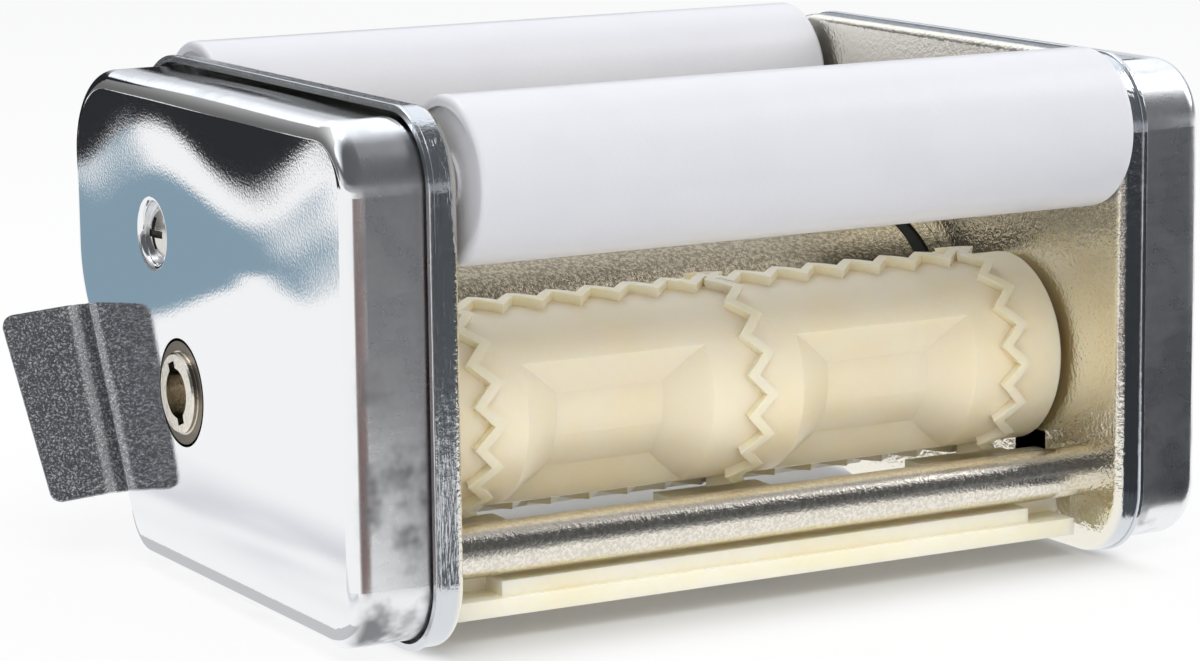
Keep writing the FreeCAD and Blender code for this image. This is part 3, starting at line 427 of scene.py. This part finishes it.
print("finishes")
steel = turnedSteel()
wornBy = [
    (coverSteel(), ["left_end_cover", "right_end_cover"]),
    (trayPlate(), ["left_side_tray", "right_side_tray"]),
    (brightPlating("brightNickel"), ["front_tie_sleeve", "back_tie_sleeve", "front_tie_spacer",
                                     "back_tie_spacer"]),
    (brightPlating("shadedGuidePlate"), ["dough_guide"]),
    (socketNickel(), ["drive_socket"]),
    (screwNickel(), ["left_cover_screw", "right_cover_screw"]),
    (darkNickel(), ["left_hook_plate", "right_hook_plate"]),
    (mouldedPlastic("creamPlastic"), ["front_ravioli_roller", "back_ravioli_roller"]),
    (mouldedPlastic("litCombPlastic"), ["front_strip_comb", "back_strip_comb"]),
    (mouldedPlastic("whitePlastic"), ["front_feed_roller", "back_feed_roller", "front_feed_plugs",
                                      "back_feed_plugs"]),
    (mouldedPlastic("acetal"), ["front_gear", "back_gear", "front_shaft_bushes", "back_shaft_bushes"]),
    (slotShadeFelt(), ["guide_felts"]),
]
dressed = {node: look for look, group in wornBy for node in group}
for name, thing in nodes.items():
    thing.data.materials.clear()
    thing.data.materials.append(dressed.get(name, steel))


def sheet(name, corners, material):
    mesh = bpy.data.meshes.new(name)
    mesh.from_pydata(corners, [], [tuple(range(len(corners)))])
    mesh.materials.append(material)
    thing = bpy.data.objects.new(name, mesh)
    bpy.context.scene.collection.objects.link(thing)
    return thing


floorLook = {
    "size": 7.0,
    "colour": (0.92, 0.92, 0.92, 1.0),
    "shadow": 0.16,
    "under": {"X": (0.085, 0.0765), "Y": (0.090, 0.054)},
    # painted shadow: the paper's darker colour below the maker
    "underPaintedShadow": (0.58, 0.58, 0.57, 1.0),
    "underShadow": 0.85,
    "background": 1.0,
}


def makeFloor():
    # seen by the camera it is white paper with a soft shadow; below the maker its colour is also darkened as
    # a painted shadow
    look = Finish("floorPaper")
    glow = look.add("Emission", values={"Color": white, "Strength": floorLook["background"]})
    glossy = look.add("LightPath", output="Is Glossy Ray")
    camera = look.add("LightPath", output="Is Camera Ray")
    edges = floorLook["under"]
    under = look.step(look.fromMiddle("X"), *edges["X"]) * look.step(look.fromMiddle("Y"), *edges["Y"])
    shadow = under * (floorLook["underShadow"] - floorLook["shadow"]) + floorLook["shadow"]
    tone = look.mix(under * camera, floorLook["colour"], floorLook["underPaintedShadow"])
    paper = look.add("BsdfDiffuse", values={"Color": tone})
    both = look.add("MixShader", values={0: camera * (1 - shadow) + glossy, 1: paper, 2: glow})
    look.add("OutputMaterial", values={"Surface": both})
    far = floorLook["size"] / 2
    sheet("floor", [(-far, -far, 0), (far, -far, 0), (far, far, 0), (-far, far, 0)], look.material)


# Cards that only polished metal sees. They lie on the floor or stand on a foot line, and may fade to
# white at their long sides (soft) or round an apex (slant), or change shade towards their top (fade).
floorCards = {
    "smokeCard": {"shade": (0.085, 0.094, 0.101),
                  "corners": [(-0.068, -0.105), (-0.040, -0.105), (0.020, -0.225), (0.130, -0.225),
                              (0.085, -0.105), (0.085, -0.072), (0.60, -0.072), (1.80, -2.20),
                              (0.50, -2.60), (0.12, -1.15), (-0.03, -0.26), (0.005, -0.24)]},
    "coalCard": {"shade": (0.038, 0.041, 0.045),
                 "corners": [(0.105, -0.076), (0.60, -0.076), (1.80, -2.20), (1.00, -2.40), (0.105, -0.15)]},
    "rustCard": {"shade": (0.20, 0.140, 0.130), "apex": (-0.08, -0.06), "slant": (1.7, 0.8),
                 "corners": [(-0.135, -0.095), (-0.085, -0.115), (0.10, -0.85), (-0.30, -1.00),
                             (-0.75, -0.60)]},
    "slateCard": {"shade": (0.25, 0.36, 0.44),
                  "corners": [(-0.272, 0.302), (-0.304, 0.380), (-0.318, 0.435), (-0.332, 0.475),
                              (-0.340, 0.505), (-0.325, 0.530), (-0.315, 0.560), (-0.330, 0.630),
                              (-0.345, 0.685), (-0.335, 0.720), (-0.195, 0.420), (-0.205, 0.310),
                              (-0.235, 0.340), (-0.255, 0.355), (-0.275, 0.385), (-0.290, 0.385),
                              (-0.280, 0.345)]},
    "nightCard": {"shade": (0.028, 0.029, 0.033),
                  "corners": [(-0.360, 0.500), (-0.365, 0.550), (-0.375, 0.590), (-0.380, 0.620),
                              (-0.365, 0.655), (-0.345, 0.690), (-0.345, 0.730), (-0.300, 1.400),
                              (-1.200, 1.200), (-0.900, 0.400)]},
    "lilacCard": {"shade": (0.66, 0.67, 0.72), "soft": 0.022,
                  "corners": [(-0.108, -0.080), (-0.150, -0.080), (-0.150, 0.240), (-0.108, 0.240)]},
    "edgeCard": {"shade": (0.60, 0.60, 0.61),
                 "corners": [(-0.0985, -0.066), (-0.1045, -0.060), (-0.1045, 0.075), (-0.0985, 0.070)]},
}
standingCards = {
    "duskCard": {"shade": (0.020, 0.020, 0.024), "foot": [(-0.25, 0.69), (0.60, 1.05)],
                 "bottom": 0.0, "top": 0.34},
    "eveningCard": {"shade": (0.16, 0.16, 0.155), "fade": (0.80, 0.80, 0.79),
                    "foot": [(-1.20, 0.55), (-0.25, 0.95)], "bottom": 0.05, "top": 1.20},
}
cardLook = {
    "gap": 0.0005,
    "streakSize": 0.03,
    "streakStretch": (1.0, 0.2, 1.0),
    "streakEdge": (0.35, 0.60),
}


def makeCard(name, card, corners):
    look = Finish(name + "Shade")
    colour = card["shade"] + (1.0,)
    if "fade" in card:
        rise = look.step(look.axis("Z"), card["bottom"], card["top"])
        colour = look.mix(rise, colour, card["fade"] + (1.0,))
    if "soft" in card:
        soft = card["soft"]
        sides = [corner[0] for corner in corners]
        inside = look.step(look.axis("X"), min(sides), min(sides) + soft)
        inside = inside * look.step(look.axis("X"), max(sides), max(sides) - soft)
        streaks = look.noise(cardLook["streakSize"], 2.0, 0.6, cardLook["streakStretch"])
        colour = look.mix(inside * look.step(streaks, *cardLook["streakEdge"]), white, colour)
    if "slant" in card:
        slant = (look.axis("X") - card["apex"][0]) / (look.axis("Y") - card["apex"][1])
        colour = look.mix(look.step(slant, *card["slant"]), white, colour)
    glow = look.add("Emission", values={"Color": colour, "Strength": 1.0})
    look.add("OutputMaterial", values={"Surface": glow})
    thing = sheet(name, corners, look.material)
    thing.visible_camera = False
    thing.visible_diffuse = False
    thing.visible_shadow = False
    thing.visible_transmission = False


def makeCards():
    gap = cardLook["gap"]
    for layer, (name, card) in enumerate(floorCards.items(), start=1):
        makeCard(name, card, [(x, y, gap * layer) for x, y in card["corners"]])
    for name, card in standingCards.items():
        (x0, y0), (x1, y1) = card["foot"]
        low, top = card["bottom"] + gap, card["top"]
        makeCard(name, card, [(x0, y0, low), (x1, y1, low), (x1, y1, top), (x0, y0, top)])


softboxes = [
    {"place": (-0.40, -0.75, 1.15), "aim": (0.0, 0.0, 0.05), "size": (0.9, 0.8), "power": 9.0,
     "colour": (1.0, 0.985, 0.95), "seen": False},
    {"place": (0.95, -0.25, 0.75), "aim": (0.0, 0.0, 0.05), "size": (0.6, 0.9), "power": 4.0,
     "colour": (0.98, 0.98, 1.0), "seen": True},
    {"place": (-0.2, 0.5, 1.2), "aim": (0.0, 0.0, 0.06), "size": (0.7, 0.5), "power": 2.4,
     "colour": (1.0, 1.0, 1.0), "seen": True},
    {"place": (0.0, -0.17, 0.028), "aim": (0.0, -0.04, 0.032), "size": (0.16, 0.03), "power": 0.0035,
     "colour": (1.0, 0.86, 0.56), "seen": False, "spread": 40.0},
]


def makeLights():
    for number, box in enumerate(softboxes):
        lamp = bpy.data.lights.new("softbox%d" % number, "AREA")
        lamp.shape = "RECTANGLE"
        lamp.size, lamp.size_y = box["size"]
        lamp.energy = box["power"]
        lamp.color = box["colour"]
        lamp.spread = math.radians(box.get("spread", 180.0))
        thing = bpy.data.objects.new(lamp.name, lamp)
        bpy.context.scene.collection.objects.link(thing)
        way = Vector(box["aim"]) - Vector(box["place"])
        turned = way.to_track_quat("-Z", "Y").to_matrix().to_4x4()
        thing.matrix_world = Matrix.Translation(box["place"]) @ turned
        thing.visible_glossy = box["seen"]
        thing.visible_camera = False


skyLook = {
    "background": 1.0,
    "colour": (0.95, 0.97, 1.0, 1.0),
    "strength": 0.60,
    "mirrored": (0.92, 0.95, 1.0, 1.0),
    "behind": (-0.10, 0.35),
    "lowWall": 0.85,
    "frontWall": 0.42,
    "lowBand": (0.18, 0.02),
    "upperDusk": 0.12,
    "highBand": (0.18, 0.34),
    "backGlow": 1.25,
}


def makeSky():
    # white for the camera, an even light for plain surfaces, and for polished ones a pale low wall,
    # a dusky band and, behind the maker, a bright ceiling
    world = bpy.data.worlds.new("studioSky")
    bpy.context.scene.world = world
    world.use_nodes = True
    sky = Shading(world.node_tree, "Generated")
    height = sky.axis("Z")
    glossy = sky.add("LightPath", output="Is Glossy Ray")
    camera = sky.add("LightPath", output="Is Camera Ray")
    behind = sky.step(sky.axis("Y"), *skyLook["behind"])
    dusk = skyLook["upperDusk"]
    foot = behind * (skyLook["lowWall"] - skyLook["frontWall"]) + skyLook["frontWall"] - dusk
    low = foot * sky.step(height, *skyLook["lowBand"]) + dusk
    wall = low + behind * sky.step(height, *skyLook["highBand"]) * (skyLook["backGlow"] - dusk)
    level = glossy * (wall - skyLook["strength"]) + skyLook["strength"]
    strength = camera * (skyLook["background"] - level) + level
    tone = sky.mix(camera, sky.mix(glossy, skyLook["colour"], skyLook["mirrored"]), white)
    shader = sky.add("Background", values={"Color": tone, "Strength": strength})
    sky.add("OutputWorld", values={"Surface": shader})


cameraView = {
    "place": (-0.4188, -0.7423, 0.1968),
    "yaw": 0.5048,
    "pitch": -0.1741,
    "roll": -0.0117,
    "lens": 122.5,
    "sensor": 36.0,
    "nearest": 0.01,
}


def makeCamera():
    yaw, pitch, roll = (cameraView[name] for name in ("yaw", "pitch", "roll"))
    forward = Vector((math.sin(yaw) * math.cos(pitch), math.cos(yaw) * math.cos(pitch), math.sin(pitch)))
    right = forward.cross(Vector((0, 0, 1))).normalized()
    up = right.cross(forward)
    level = math.cos(roll) * right + math.sin(roll) * up
    upright = math.cos(roll) * up - math.sin(roll) * right
    lens = bpy.data.cameras.new("camera")
    lens.lens = cameraView["lens"]
    lens.sensor_width = cameraView["sensor"]
    lens.sensor_fit = "HORIZONTAL"
    lens.clip_start = cameraView["nearest"]
    thing = bpy.data.objects.new("camera", lens)
    bpy.context.scene.collection.objects.link(thing)
    turned = Matrix((level, upright, -forward)).transposed().to_4x4()
    thing.matrix_world = Matrix.Translation(cameraView["place"]) @ turned
    bpy.context.scene.camera = thing


print("studio")
makeFloor()
makeCards()
makeLights()
makeSky()
makeCamera()
bpy.context.scene.view_settings.view_transform = "Standard"

print("done")
